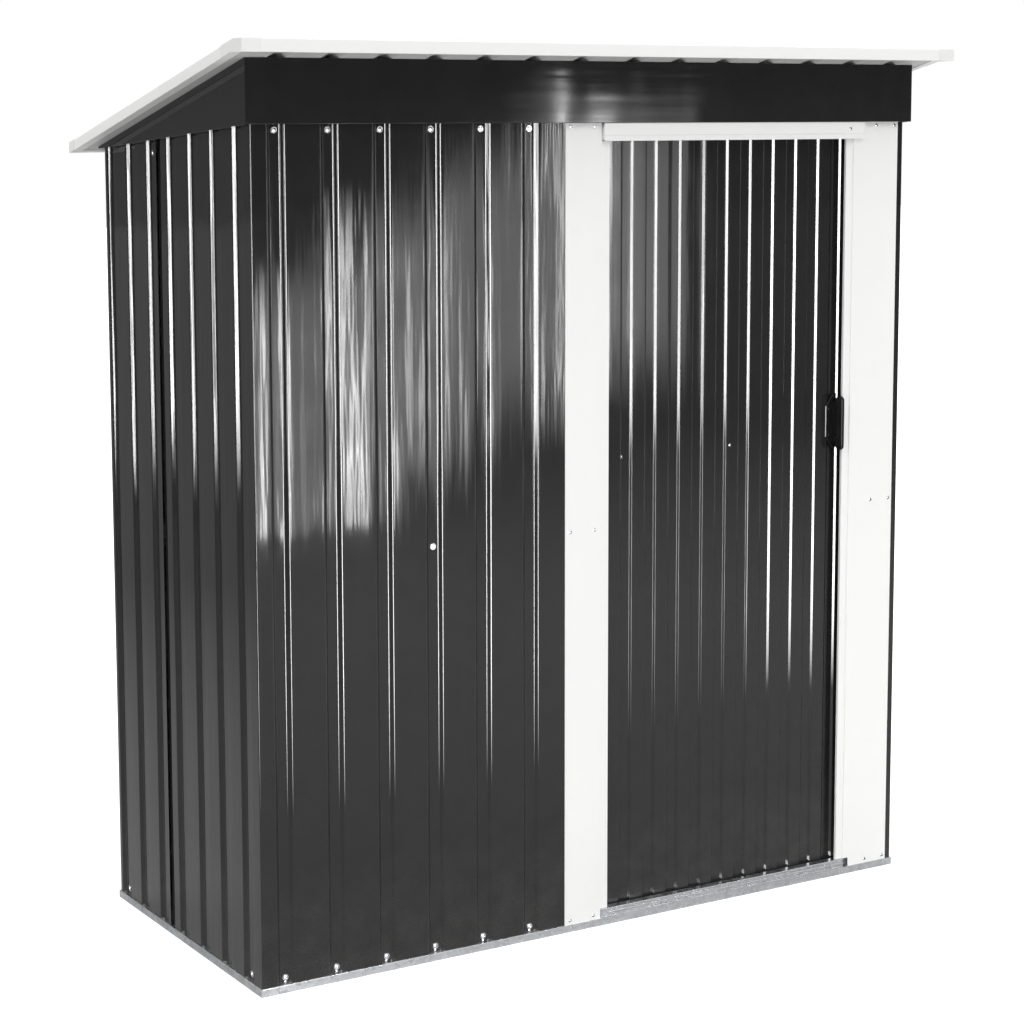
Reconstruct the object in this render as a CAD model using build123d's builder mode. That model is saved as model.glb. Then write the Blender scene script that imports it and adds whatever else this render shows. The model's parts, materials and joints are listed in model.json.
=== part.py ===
"""Metal storage shed with a pent roof and one sliding door.

The origin is on the ground under the middle of the roof's outline. +X runs along
the front to a viewer's right, +Y runs from the front to the rear, +Z is up.
All sizes are millimetres.
"""
from build123d import *
from math import atan, ceil, cos, degrees, radians, sin, tan
import os

os.makedirs("parts", exist_ok=True)

# Overall sizes
base_width = 1602
base_depth = 722
front_overhang = 93
rear_overhang = 48
side_overhang = 55
fascia_bottom = 1700
fascia_height = 124.5
roof_pitch = 13.4

# Sheet thicknesses and the gap left where pieces are seated
sheet = 0.8
rail_sheet = 1.2
trim_sheet = 1.0
seat_gap = 0.3

# Floor frame rails: a low outer face, a ledge and an upstand behind the sheets
rail_height = 16
rail_upstand = 46
rail_flange = 42

# Wall sheets: flats stand out, valleys lie back against the rails
wall_inset = 3
valley_depth = 7
front_pitch = 113.65
front_valley_floor = 22.7
front_valley_slope = 7
first_front_valley = 53.5
sheet_under_jamb = 9.5
side_pitch = 103.7
side_valley_floor = 30
side_valley_slope = 8
first_side_valley = 58.5
front_side_valleys = 4
rear_sheets = 3
rear_corner_flat = 30
lap_cover = 6.5
corner_flange = 27

# Rails behind the sheets, along the top and at the screws half way up
top_rail_leg = 36
top_rail_flange = 44.2
front_rail_rise = 16
side_rail_leg = 30
side_rail_drop = 4
mid_rail_height = 858
mid_rail_leg = 34
mid_rail_depth = 8
mid_rail_end_gap = 16
rail_end_gap = 12

# Doorway, between the lips of the two jambs
doorway_width = 624
doorway_corner = 158
jamb_lip = 19
jamb_lip_drop = 3
jamb_fold = 1
jamb_left_face = 89.5
jamb_corner_gap = 15
jamb_hem = 10

# Header over the doorway and sill under it
header_proud = 10
header_crease_drop = 25
header_drop = 37
header_crease_step = 1.6
header_overlap_left = 20
header_overlap_right = 43
sill_height = 20
sill_back_leg = 8
sill_overlap_left = 20
sill_overlap_right = 33
sill_end_gap = 14
sill_groove_drop = 3.5
sill_groove_height = 4.5
sill_groove_pitch = 8.5
sill_groove_slope = 1
sill_groove_depth = 3
sill_grooves = 2

# Sliding door
door_set_back = 21.3
door_overlap = 26
running_clearance = 5.3
door_lift = 6
door_top_lap = 1
door_pitch = 61.5
first_door_valley = 22.7
door_valley_floor = 21
door_valley_slope = 4.5
door_valley_depth = 4.5
door_rail_leg = 34
door_frame_depth = 15
door_mid_rail_height = 1010

# Hangers and rollers that carry the door, and the track they run in
hanger_width = 36
hanger_lap = 28
hanger_rise = 28
hanger_inset = 70
axle_radius = 3
axle_end = 2
roller_radius = 9
roller_side_gap = 1.3
roller_width = 7
track_gap = 8
track_lip = 4
track_top_flange = 12
track_end_gap = 21
guide_foot = 17
guide_rise = 8

# Handle
handle_width = 28
handle_edge_gap = 5
handle_low = 979
handle_high = 1100
plate_thickness = 3
plate_bevel = 1.5
plate_cut_across = 20
plate_cut_up = 26
grip_width = 7.5
grip_low = 977
grip_high = 1097
grip_reach = 33
grip_root_inset = 16
grip_corner = 10
grip_edge_rounding = 2

# Fascia boards under the roof
fascia_proud = 9.3
fascia_side_proud = 11
fascia_flange = 20
side_fascia_tip = 4.6
side_sheet_lap = 12

# Roof sheets, the beam under them and the trims round them
rib_height = 10
rib_top = 22
rib_slope = 8
roof_rib_pitch = 113.65
first_roof_rib = 64.3
roof_lap = 14
roof_lap_slope = 2
roof_end_gap = 3
beam_place = 20
beam_leg = 50
beam_flange = 30
side_trim_height = 22
trim_flange = 20
front_trim_drop = 12.7
front_trim_flange = 30
front_trim_return = 10
side_trim_start = 45
cap_proud = 1.5
front_cap_leg = 90
rear_cap_leg = 30
cap_face_leg = 38

# Places worked out from the sizes above
base_left = -base_width / 2
base_right = base_width / 2
base_front = front_overhang - (base_depth + front_overhang + rear_overhang) / 2
base_rear = base_front + base_depth
wall_left = base_left + wall_inset
wall_right = base_right - wall_inset
wall_front = base_front + wall_inset
wall_rear = base_rear - wall_inset
roof_left = base_left - side_overhang
roof_right = base_right + side_overhang
roof_front = base_front - front_overhang
roof_rear = base_rear + rear_overhang
rail_back = valley_depth + sheet
fascia_front_y = base_front - fascia_proud
fascia_x = base_right + fascia_side_proud
fascia_top = fascia_bottom + fascia_height
roof_fall = tan(radians(roof_pitch))
doorway_right = wall_right - doorway_corner
doorway_left = doorway_right - doorway_width
jamb_proud = sheet * 2
left_face_edge = doorway_left - jamb_lip - jamb_fold
right_face_edge = doorway_right + jamb_lip
jamb_return = rail_back - seat_gap
front_sheet_end = left_face_edge - jamb_left_face + sheet_under_jamb
header_bottom = fascia_bottom - header_drop
front_rail_top = fascia_bottom + front_rail_rise
sill_top = rail_height + sill_height
door_bottom = rail_height + door_lift
door_top = header_bottom + door_top_lap
door_left = doorway_left - door_overlap
door_right = doorway_right + door_overlap
door_frame_front = door_set_back + door_valley_depth + sheet
door_frame_back = door_frame_front + door_frame_depth
sill_left = doorway_left - sill_overlap_left
sill_right = doorway_right + sill_overlap_right
sill_under = sill_top - rail_sheet
wall_faces = {
    "front": (wall_front, 1),
    "rear": (wall_rear, -1),
    "left": (wall_left, 1),
    "right": (wall_right, -1),
}


def roof_under(y):
    """Height of the underside of the roof sheets' pans at a depth y."""
    return fascia_top - (y - fascia_front_y) * roof_fall


side_fascia_run = wall_rear - fascia_front_y
side_fall = (fascia_bottom + side_fascia_tip - roof_under(wall_rear)) / side_fascia_run
side_fascia_slope = degrees(atan(side_fall))


def side_fascia_low(y):
    """Height of a side fascia's lower edge at a depth y."""
    return fascia_bottom - (y - fascia_front_y) * side_fall


def plan_plane(side, height):
    """Level sketch plane of a wall: x to a viewer's right, y inwards from the flats."""
    origins = {
        "front": ((0, wall_front, height), (1, 0, 0)),
        "rear": ((0, wall_rear, height), (-1, 0, 0)),
        "left": ((wall_left, 0, height), (0, -1, 0)),
        "right": ((wall_right, 0, height), (0, 1, 0)),
    }
    origin, x_dir = origins[side]
    return Plane(origin=origin, x_dir=x_dir, z_dir=(0, 0, 1))


def depth_plane(x):
    """Upright sketch plane at x, drawn as depth y and height z."""
    return Plane(origin=(x, 0, 0), x_dir=(0, 1, 0), z_dir=(1, 0, 0))


def face_plane(y):
    """Upright sketch plane at a depth y, drawn as x and height z, facing the front."""
    return Plane(origin=(0, y, 0), x_dir=(1, 0, 0), z_dir=(0, -1, 0))


def mirrored(points):
    """The same outline seen from the other side."""
    return [(-across, up) for across, up in reversed(points)]


def placed(profile, face, inwards):
    """Moves a profile of distances inwards and heights to the wall it lies on."""
    points = [(face + inwards * distance, height) for distance, height in profile]
    return points if inwards > 0 else points[::-1]


def sheet_outline(points, thickness):
    """Corners of a bent sheet: its outer face and, on the left of it, its inner face."""
    outer = [Vector(*point) for point in points]
    runs = [(end - start).normalized() for start, end in zip(outer, outer[1:])]
    normals = [Vector(-run.Y, run.X) for run in runs]
    inner = [outer[0] + normals[0] * thickness]
    for corner, before, after in zip(outer[1:], normals, normals[1:]):
        bisector = before + after
        inner.append(corner + bisector * (2 * thickness / bisector.dot(bisector)))
    inner.append(outer[-1] + normals[-1] * thickness)
    return [*outer, *reversed(inner)]


def bent_sheet(plane, points, thickness, length, direction=None):
    """A sheet bent through the points of its outer face and run off the plane."""
    with BuildPart() as piece:
        with BuildSketch(plane):
            with BuildLine():
                Polyline(*sheet_outline(points, thickness), close=True)
            make_face()
        extrude(amount=length, dir=direction)
    return piece


def wall_run(side, profile, start, end, thickness):
    """A bent sheet running along one wall between two places."""
    face, inwards = wall_faces[side]
    plane = depth_plane(start) if side in ("front", "rear") else face_plane(end)
    return bent_sheet(plane, placed(profile, face, inwards), thickness, end - start)


def sloping_run(points, thickness, rear, front, angle):
    """A bent sheet rising from rear to front, its ends cut upright."""
    return bent_sheet(
        face_plane(rear),
        points,
        thickness,
        (rear - front) / cos(radians(angle)),
        (0, -cos(radians(angle)), sin(radians(angle))),
    )


def save(piece, label):
    """Names a finished piece and writes it."""
    piece.part.label = label
    export_step(piece.part, f"parts/{label}.step")


# Floor frame: four rails, mitred at the corners
rail_profile = [
    (rail_back, rail_upstand),
    (rail_back, rail_height),
    (-wall_inset, rail_height),
    (-wall_inset, 0),
    (rail_flange - wall_inset, 0),
]
rail_reach = rail_flange + rail_sheet
outer_corners = [
    (base_left, base_front),
    (base_right, base_front),
    (base_right, base_rear),
    (base_left, base_rear),
]
inner_corners = [
    (base_left + rail_reach, base_front + rail_reach),
    (base_right - rail_reach, base_front + rail_reach),
    (base_right - rail_reach, base_rear - rail_reach),
    (base_left + rail_reach, base_rear - rail_reach),
]
with BuildSketch(Plane.XY.offset(sill_under - seat_gap)) as upstand_notch:
    with Locations(((sill_left + sill_right) / 2, wall_front + rail_back)):
        Rectangle(sill_right - sill_left, rail_back)
for number, side in enumerate(("front", "right", "rear", "left")):
    following = (number + 1) % len(outer_corners)
    across = side in ("front", "rear")
    start, end = (base_left, base_right) if across else (base_front, base_rear)
    with BuildSketch(Plane.XY) as mitre:
        Polygon(
            outer_corners[number],
            outer_corners[following],
            inner_corners[following],
            inner_corners[number],
            align=None,
        )
    base_rail = wall_run(side, rail_profile, start, end, rail_sheet)
    with base_rail:
        extrude(mitre.sketch, amount=rail_upstand, mode=Mode.INTERSECT)
        if side == "front":
            extrude(upstand_notch.sketch, amount=rail_upstand, mode=Mode.SUBTRACT)
    save(base_rail, f"base_rail_{side}")


# Wall sheets
def fitting_count(length, pitch):
    """How many valleys or ribs a pitch apart fit on a length between the outer two."""
    return int(length / pitch) + 1


def valley_points(centres, floor, slope, depth):
    """Corners of each valley along a sheet, from the viewer's left to the right."""
    points = []
    for centre in centres:
        points += [
            (centre - floor / 2 - slope, 0),
            (centre - floor / 2, depth),
            (centre + floor / 2, depth),
            (centre + floor / 2 + slope, 0),
        ]
    return points


def lap_tail(centre, pitch, floor, slope):
    """Where a sheet ends that dips under the next one, after its last valley."""
    return centre + pitch - floor / 2 - slope


def lap_end(centre, pitch, floor, slope):
    """Edge of a sheet that dips under the next sheet's first flat."""
    start = centre + pitch / 2
    return [
        (start, 0),
        (start + slope, valley_depth),
        (lap_tail(centre, pitch, floor, slope), valley_depth),
    ]


def wall_sheet(side, points, top):
    """One ribbed sheet standing on the floor frame's ledge."""
    return bent_sheet(plan_plane(side, rail_height), points, sheet, top - rail_height)


front_valley = (front_valley_floor, front_valley_slope)
front_half_valley = front_valley_floor / 2 + front_valley_slope
front_row_start = wall_left + first_front_valley
front_row_length = front_sheet_end - front_half_valley - front_row_start
front_centres = [
    front_row_start + front_pitch * step
    for step in range(fitting_count(front_row_length, front_pitch))
]
front_points = [
    (wall_left + sheet, 0),
    *valley_points(front_centres, *front_valley, valley_depth),
    (front_sheet_end, 0),
]
save(wall_sheet("front", front_points, fascia_bottom + side_sheet_lap), "front_sheet")

side_valley = (side_valley_floor, side_valley_slope)
side_half_valley = side_valley_floor / 2 + side_valley_slope
side_row_start = wall_front + first_side_valley
side_row_length = wall_rear - side_half_valley - side_row_start
side_centres = [
    side_row_start + side_pitch * step for step in range(fitting_count(side_row_length, side_pitch))
]
side_lap = side_centres[front_side_valleys - 1]
front_corner = wall_front - sheet
rear_corner = wall_rear + sheet
side_points = {
    "front": [
        (front_corner, corner_flange),
        (front_corner, 0),
        *valley_points(side_centres[:front_side_valleys], *side_valley, valley_depth),
        *lap_end(side_lap, side_pitch, *side_valley),
    ],
    "rear": [
        (lap_tail(side_lap, side_pitch, *side_valley) - lap_cover, 0),
        *valley_points(side_centres[front_side_valleys:], *side_valley, valley_depth),
        (rear_corner, 0),
        (rear_corner, corner_flange),
    ],
}
lap_cut = Plane(
    origin=(0, wall_front, side_fascia_low(wall_front) + side_sheet_lap),
    z_dir=(0, sin(radians(side_fascia_slope)), cos(radians(side_fascia_slope))),
)
roof_cut = Plane(
    origin=(0, wall_front, roof_under(wall_front) - sheet - seat_gap * 2),
    z_dir=(0, sin(radians(roof_pitch)), cos(radians(roof_pitch))),
)
for side in ("left", "right"):
    for half, points in side_points.items():
        drawn = mirrored(points) if side == "left" else points
        side_sheet = wall_sheet(side, drawn, fascia_top)
        with side_sheet:
            split(bisect_by=lap_cut, keep=Keep.BOTTOM)
            split(bisect_by=roof_cut, keep=Keep.BOTTOM)
        save(side_sheet, f"{side}_sheet_{half}")

rear_row_length = wall_right - wall_left - (front_half_valley + rear_corner_flat) * 2
rear_count = fitting_count(rear_row_length, front_pitch)
rear_centres = [front_pitch * (step - (rear_count - 1) / 2) for step in range(rear_count)]
sheet_valleys = ceil(rear_count / rear_sheets)
rear_start = (wall_left + sheet, 0)
for number, label in enumerate(("left", "middle", "right")):
    own_centres = rear_centres[sheet_valleys * number:sheet_valleys * (number + 1)]
    last = number == rear_sheets - 1
    rear_end = [(wall_right - sheet, 0)] if last else lap_end(own_centres[-1], front_pitch, *front_valley)
    points = [rear_start, *valley_points(own_centres, *front_valley, valley_depth), *rear_end]
    rear_start = (lap_tail(own_centres[-1], front_pitch, *front_valley) - lap_cover, 0)
    save(wall_sheet("rear", points, roof_under(wall_rear) - seat_gap), f"rear_sheet_{label}")


# Rails behind the sheets
def channel(front, back, low, high):
    """Profile of a channel whose web faces outwards."""
    return [(back, high), (front, high), (front, low), (back, low)]


rail_end = wall_right - rail_back - seat_gap
mid_end = wall_right - rail_back - mid_rail_depth - rail_end_gap
mid_front = wall_front + rail_back + mid_rail_depth + rail_end_gap
mid_rear = wall_rear - rail_back - mid_rail_depth - rail_end_gap
mid_profile = channel(
    rail_back,
    rail_back + mid_rail_depth,
    mid_rail_height - mid_rail_leg / 2,
    mid_rail_height + mid_rail_leg / 2,
)
mid_rail_end = left_face_edge - mid_rail_end_gap
for side, end in (("front", mid_rail_end), ("rear", mid_end)):
    save(wall_run(side, mid_profile, -mid_end, end, rail_sheet), f"mid_rail_{side}")
with BuildPart() as mid_rails_side:
    for side in ("left", "right"):
        add(wall_run(side, mid_profile, mid_front, mid_rear, rail_sheet).part)
save(mid_rails_side, "mid_rails_side")

front_rail_profile = [
    (rail_back + top_rail_flange, front_rail_top),
    (rail_back, front_rail_top),
    (rail_back, front_rail_top - top_rail_leg),
]
save(wall_run("front", front_rail_profile, -rail_end, rail_end, rail_sheet), "top_rail_front")

rear_rail_top = roof_under(wall_rear - rail_back) - seat_gap
rear_rail_profile = [
    (rail_back + side_rail_leg, rear_rail_top + side_rail_leg * roof_fall),
    (rail_back, rear_rail_top),
    (rail_back, rear_rail_top - top_rail_leg),
]
save(wall_run("rear", rear_rail_profile, -rail_end, rail_end, rail_sheet), "top_rail_rear")

side_rail_front = wall_front + rail_back + top_rail_flange + rail_end_gap
side_rail_rear = wall_rear - rail_back - side_rail_leg - rail_end_gap
side_rail_top = side_fascia_low(side_rail_rear) + side_sheet_lap - side_rail_drop
side_rail_profile = [
    (rail_back, side_rail_top),
    (rail_back, side_rail_top - side_rail_leg),
    (rail_back + side_rail_leg, side_rail_top - side_rail_leg),
]
for side in ("left", "right"):
    side_rail = sloping_run(
        placed(side_rail_profile, *wall_faces[side]),
        rail_sheet,
        side_rail_rear,
        side_rail_front,
        side_fascia_slope,
    )
    save(side_rail, f"top_rail_{side}")


# Jambs: a face on the wall, a slightly lower lip and a return beside the doorway
jamb_top = fascia_bottom - seat_gap
lip_depth = jamb_lip_drop - jamb_proud
jamb_points = {
    "left": [
        (left_face_edge - jamb_left_face, -jamb_proud),
        (left_face_edge, -jamb_proud),
        (left_face_edge + jamb_fold, lip_depth),
        (doorway_left, lip_depth),
        (doorway_left, jamb_return),
    ],
    "right": [
        (doorway_right, jamb_return),
        (doorway_right, lip_depth),
        (right_face_edge - jamb_fold, lip_depth),
        (right_face_edge, -jamb_proud),
        (wall_right - jamb_corner_gap, -jamb_proud),
    ],
}
with BuildSketch(plan_plane("front", rail_height)) as hem:
    with Locations((left_face_edge - jamb_left_face, -sheet)):
        Rectangle(jamb_hem, sheet, align=(Align.MIN, Align.MIN))
with BuildSketch(depth_plane(sill_left - seat_gap)) as sill_notch:
    Rectangle(base_depth, (sill_top + seat_gap) * 2)
for side, points in jamb_points.items():
    jamb = bent_sheet(plan_plane("front", rail_height), points, sheet, jamb_top - rail_height)
    with jamb:
        if side == "left":
            extrude(hem.sketch, amount=jamb_top - rail_height)
        extrude(sill_notch.sketch, amount=sill_right - sill_left + seat_gap * 2, mode=Mode.SUBTRACT)
    save(jamb, f"jamb_{side}")

header_top = fascia_bottom - seat_gap
header_back = -jamb_proud - seat_gap
header_crease = fascia_bottom - header_crease_drop
header_profile = [
    (header_back, header_top),
    (-header_proud, header_top),
    (-header_proud, header_crease),
    (-header_proud + header_crease_step, header_crease - header_crease_step),
    (-header_proud + header_crease_step, header_bottom),
    (header_back, header_bottom),
]
header_left = doorway_left - header_overlap_left
header_right = doorway_right + header_overlap_right
header = wall_run("front", header_profile, header_left, header_right, sheet)
for end in (header_left, header_right - sheet):
    with BuildSketch(depth_plane(end)) as header_end:
        with BuildLine():
            Polyline(*placed(header_profile, *wall_faces["front"]), close=True)
        make_face()
    with header:
        extrude(header_end.sketch, amount=sheet)
save(header, "header")

groove = -wall_inset + sill_groove_depth
groove_tops = [
    sill_top - sill_groove_drop - sill_groove_pitch * step for step in range(sill_grooves)
]
sill_back = door_set_back - running_clearance
sill_profile = [
    (sill_back, sill_top - sill_back_leg),
    (sill_back, sill_top),
    (-wall_inset, sill_top),
]
for groove_top in groove_tops:
    groove_low = groove_top - sill_groove_height
    sill_profile += [
        (-wall_inset, groove_top),
        (groove, groove_top - sill_groove_slope),
        (groove, groove_low + sill_groove_slope),
        (-wall_inset, groove_low),
    ]
sill_profile.append((-wall_inset, rail_height + seat_gap))
sill = wall_run("front", sill_profile, sill_left, sill_right - sill_end_gap, rail_sheet)
save(sill, "sill")


# Track over the door and guide under it
hanger_front = door_frame_front + rail_sheet
hanger_back = hanger_front + rail_sheet
track_front = hanger_back + running_clearance
roller_front = track_front + rail_sheet + roller_side_gap
roller_back = roller_front + roller_width
track_back = roller_back + running_clearance + rail_sheet
track_bottom = door_top + track_gap
track_top = front_rail_top - rail_sheet
track_profile = [
    (track_front, track_bottom + track_lip),
    (track_front, track_bottom),
    (track_back, track_bottom),
    (track_back, track_top),
    (track_back - track_top_flange, track_top),
]
track_end = wall_right - track_end_gap
save(wall_run("front", track_profile, -track_end, track_end, rail_sheet), "door_track")

guide_back = (door_frame_front + door_frame_back + rail_sheet) / 2
guide_profile = [
    (guide_back - guide_foot, rail_sheet),
    (guide_back, rail_sheet),
    (guide_back, door_bottom + guide_rise),
]
save(wall_run("front", guide_profile, -track_end, track_end, rail_sheet), "door_guide")


# Door: a ribbed sheet on a frame of channels
door_row_start = door_left + first_door_valley
door_row_length = door_right - door_valley_floor / 2 - door_valley_slope - door_row_start
door_centres = [
    door_row_start + door_pitch * step
    for step in range(fitting_count(door_row_length, door_pitch))
]
door_points = [
    (door_left, 0),
    *valley_points(door_centres, door_valley_floor, door_valley_slope, door_valley_depth),
    (door_right, 0),
]
door_face = plan_plane("front", door_bottom).move(Location((0, door_set_back, 0)))
save(bent_sheet(door_face, door_points, sheet, door_top - door_bottom), "door_sheet")

bottom_rail_top = door_bottom + door_rail_leg
top_rail_low = door_top - door_rail_leg
bottom_rail_profile = [
    (door_frame_back, door_bottom),
    (door_frame_back, bottom_rail_top),
    (door_frame_front, bottom_rail_top),
    (door_frame_front, door_bottom),
]
top_rail_profile = [
    (door_frame_front, door_top),
    (door_frame_front, top_rail_low),
    (door_frame_back, top_rail_low),
]
door_mid_profile = channel(
    door_frame_front,
    door_frame_back,
    door_mid_rail_height - door_rail_leg / 2,
    door_mid_rail_height + door_rail_leg / 2,
)
stile_left_edge = door_left + door_rail_leg
stile_right_edge = door_right - door_rail_leg
door_rails = {
    "door_rail_bottom": (bottom_rail_profile, door_left, door_right),
    "door_rail_top": (top_rail_profile, door_left, door_right),
    "door_rail_middle": (door_mid_profile, stile_left_edge, stile_right_edge),
}
for label, (profile, start, end) in door_rails.items():
    save(wall_run("front", profile, start, end, rail_sheet), label)

with BuildPart() as door_stiles:
    for start, end in ((door_left, stile_left_edge), (stile_right_edge, door_right)):
        points = [
            (start, door_frame_back),
            (start, door_frame_front),
            (end, door_frame_front),
            (end, door_frame_back),
        ]
        stile_plane = plan_plane("front", bottom_rail_top)
        add(bent_sheet(stile_plane, points, rail_sheet, top_rail_low - bottom_rail_top).part)
save(door_stiles, "door_stiles")


# Hangers behind the door's top rail and the rollers on their axles
def front_facing(distance):
    """Upright plane at a distance behind the front flats, facing the rear."""
    return Plane(origin=(0, wall_front + distance, 0), x_dir=(-1, 0, 0), z_dir=(0, 1, 0))


axle_height = track_bottom + rail_sheet + seat_gap + roller_radius
hanger_foot = door_top - hanger_lap
hanger_height = hanger_lap + hanger_rise
hanger_places = [-(door_left + hanger_inset), -(door_right - hanger_inset)]
axle_places = [(place, axle_height) for place in hanger_places]
with BuildPart() as door_hangers:
    with BuildSketch(front_facing(hanger_front)):
        with Locations(*[(place, hanger_foot) for place in hanger_places]):
            Rectangle(hanger_width, hanger_height, align=(Align.CENTER, Align.MIN))
    extrude(amount=rail_sheet)
    with BuildSketch(front_facing(hanger_back)):
        with Locations(*axle_places):
            Circle(axle_radius)
    extrude(amount=roller_back + axle_end - hanger_back)
save(door_hangers, "door_hangers")

with BuildPart() as door_rollers:
    with BuildSketch(front_facing(roller_front)):
        with Locations(*axle_places):
            Circle(roller_radius)
            Circle(axle_radius + seat_gap, mode=Mode.SUBTRACT)
    extrude(amount=roller_width)
save(door_rollers, "door_rollers")


# Handle: a plate with cut corners and a paddle grip standing off its right edge
plate_face = wall_front + door_set_back
plate_front = plate_face - plate_thickness
handle_right = doorway_right - handle_edge_gap
handle_left = handle_right - handle_width
with BuildPart() as handle_plate:
    with BuildSketch(face_plane(plate_face)):
        Polygon(
            (handle_left, handle_low + plate_cut_up),
            (handle_left + plate_cut_across, handle_low),
            (handle_right, handle_low),
            (handle_right, handle_high),
            (handle_left + plate_cut_across, handle_high),
            (handle_left, handle_high - plate_cut_up),
            align=None,
        )
    extrude(amount=plate_thickness)
    chamfer(handle_plate.faces().sort_by(Axis.Y)[0].edges(), plate_bevel)
save(handle_plate, "handle_plate")

grip_front = plate_front - grip_reach
grip_middle = plate_front - grip_reach / 2
with BuildPart() as handle_grip:
    with BuildSketch(depth_plane(handle_right - plate_bevel - grip_width)) as grip_outline:
        Polygon(
            (plate_front, grip_low + grip_root_inset),
            (grip_middle, grip_low),
            (grip_front, grip_low),
            (grip_front, grip_high),
            (grip_middle, grip_high),
            (plate_front, grip_high - grip_root_inset),
            align=None,
        )
        grip_corners = grip_outline.vertices().group_by(Axis.X)
        fillet(grip_corners[0] + grip_corners[1], grip_corner)
    extrude(amount=grip_width)
    grip_sides = handle_grip.faces().sort_by(Axis.X)
    rim = grip_sides[0].edges() + grip_sides[-1].edges()
    fillet(
        [edge for edge in rim if edge.center().Y < plate_front - grip_edge_rounding],
        grip_edge_rounding,
    )
save(handle_grip, "handle_grip")


# Fascia boards
front_fascia_points = [
    (fascia_front_y + fascia_flange, roof_under(fascia_front_y + fascia_flange) - seat_gap),
    (fascia_front_y, fascia_top - seat_gap),
    (fascia_front_y, fascia_bottom),
    (wall_front - sheet - seat_gap, fascia_bottom),
]
front_fascia_end = fascia_x - sheet
fascia_front = bent_sheet(
    depth_plane(-front_fascia_end), front_fascia_points, sheet, front_fascia_end * 2
)
save(fascia_front, "fascia_front")


def strip_between(low, high, front, rear):
    """Corners of a strip that runs from front to rear between two sloping lines."""
    return [(front, low(front)), (rear, low(rear)), (rear, high(rear)), (front, high(front))]


flange_front = fascia_front_y + fascia_flange + seat_gap
flange_rear = wall_rear - rail_back - trim_sheet
fascia_strips = [
    (
        strip_between(side_fascia_low, lambda y: roof_under(y) - seat_gap, fascia_front_y, wall_rear),
        sheet,
    ),
    (
        strip_between(side_fascia_low, lambda y: side_fascia_low(y) + sheet, flange_front, flange_rear),
        fascia_x - wall_right - seat_gap,
    ),
    (
        strip_between(
            lambda y: roof_under(y) - seat_gap - sheet,
            lambda y: roof_under(y) - seat_gap,
            flange_front,
            flange_rear,
        ),
        fascia_flange,
    ),
]
for side, inwards in (("left", 1), ("right", -1)):
    with BuildPart() as side_fascia:
        for corners, width in fascia_strips:
            with BuildSketch(depth_plane(-inwards * fascia_x)):
                Polygon(*corners, align=None)
            extrude(amount=inwards * width)
    save(side_fascia, f"fascia_{side}")


# Roof sheets, meeting in a lap at the middle
def rib_points(centres):
    """Corners of each raised rib, from left to right."""
    points = []
    for centre in centres:
        points += [
            (centre - rib_top / 2 - rib_slope, 0),
            (centre - rib_top / 2, rib_height),
            (centre + rib_top / 2, rib_height),
            (centre + rib_top / 2 + rib_slope, 0),
        ]
    return points


roof_sheet_rear = roof_rear - trim_sheet - roof_end_gap
roof_sheet_front = roof_front + trim_sheet + roof_end_gap
roof_edge = roof_right - trim_sheet - roof_end_gap
rib_row_length = roof_edge - first_roof_rib - rib_top / 2 - rib_slope
right_ribs = [
    first_roof_rib + roof_rib_pitch * step
    for step in range(fitting_count(rib_row_length, roof_rib_pitch))
]
roof_outlines = {
    "left": mirrored([(0, 0), *rib_points(right_ribs), (roof_edge, 0)]),
    "right": [
        (-roof_lap, sheet),
        (0, sheet),
        (roof_lap_slope, 0),
        *rib_points(right_ribs),
        (roof_edge, 0),
    ],
}
for side, points in roof_outlines.items():
    rear_height = roof_under(roof_sheet_rear)
    roof_sheet = sloping_run(
        [(across, rear_height + up) for across, up in points],
        sheet,
        roof_sheet_rear,
        roof_sheet_front,
        roof_pitch,
    )
    save(roof_sheet, f"roof_sheet_{side}")

beam_top = roof_under(beam_place) - seat_gap
beam_points = [
    (beam_place + beam_flange, roof_under(beam_place + beam_flange) - seat_gap),
    (beam_place, beam_top),
    (beam_place, beam_top - beam_leg),
]
beam_end = fascia_x - fascia_flange - seat_gap
save(bent_sheet(depth_plane(-beam_end), beam_points, rail_sheet, beam_end * 2), "roof_beam")


# Trims round the roof
trim_low = -seat_gap - trim_sheet
trim_over_ribs = rib_height + sheet + seat_gap + trim_sheet
side_trim_rear = roof_rear - trim_flange - seat_gap
side_trim_front = roof_front + side_trim_start
side_trim_base = roof_under(side_trim_rear) + trim_low
side_trim_points = [
    (roof_right - trim_flange, side_trim_base),
    (roof_right, side_trim_base),
    (roof_right, side_trim_base + side_trim_height),
    (roof_right - trim_flange, side_trim_base + side_trim_height),
]
for side, points in (("left", mirrored(side_trim_points)), ("right", side_trim_points)):
    side_trim = sloping_run(points, trim_sheet, side_trim_rear, side_trim_front, roof_pitch)
    save(side_trim, f"roof_trim_{side}")

front_trim_low = roof_under(roof_front) - front_trim_drop
front_trim_top = roof_under(roof_front) + trim_over_ribs
front_trim_points = [
    (roof_front + front_trim_flange, front_trim_top - front_trim_flange * roof_fall),
    (roof_front, front_trim_top),
    (roof_front, front_trim_low),
    (roof_front + front_trim_return, front_trim_low),
]
rear_trim_low = roof_under(roof_rear) + trim_low
rear_trim_top = roof_under(roof_rear) + trim_over_ribs
rear_trim_points = [
    (roof_rear - trim_flange, rear_trim_low + trim_flange * roof_fall),
    (roof_rear, rear_trim_low),
    (roof_rear, rear_trim_top),
    (roof_rear - trim_flange, rear_trim_top + trim_flange * roof_fall),
]
for end, points in (("front", front_trim_points), ("rear", rear_trim_points)):
    end_trim = bent_sheet(depth_plane(roof_left), points, trim_sheet, roof_right - roof_left)
    save(end_trim, f"roof_trim_{end}")


# Corner caps over the joints of the trims
def trim_line(height, y):
    """Height of a line that follows the side trims, at a depth y."""
    return roof_under(y) + height


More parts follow.
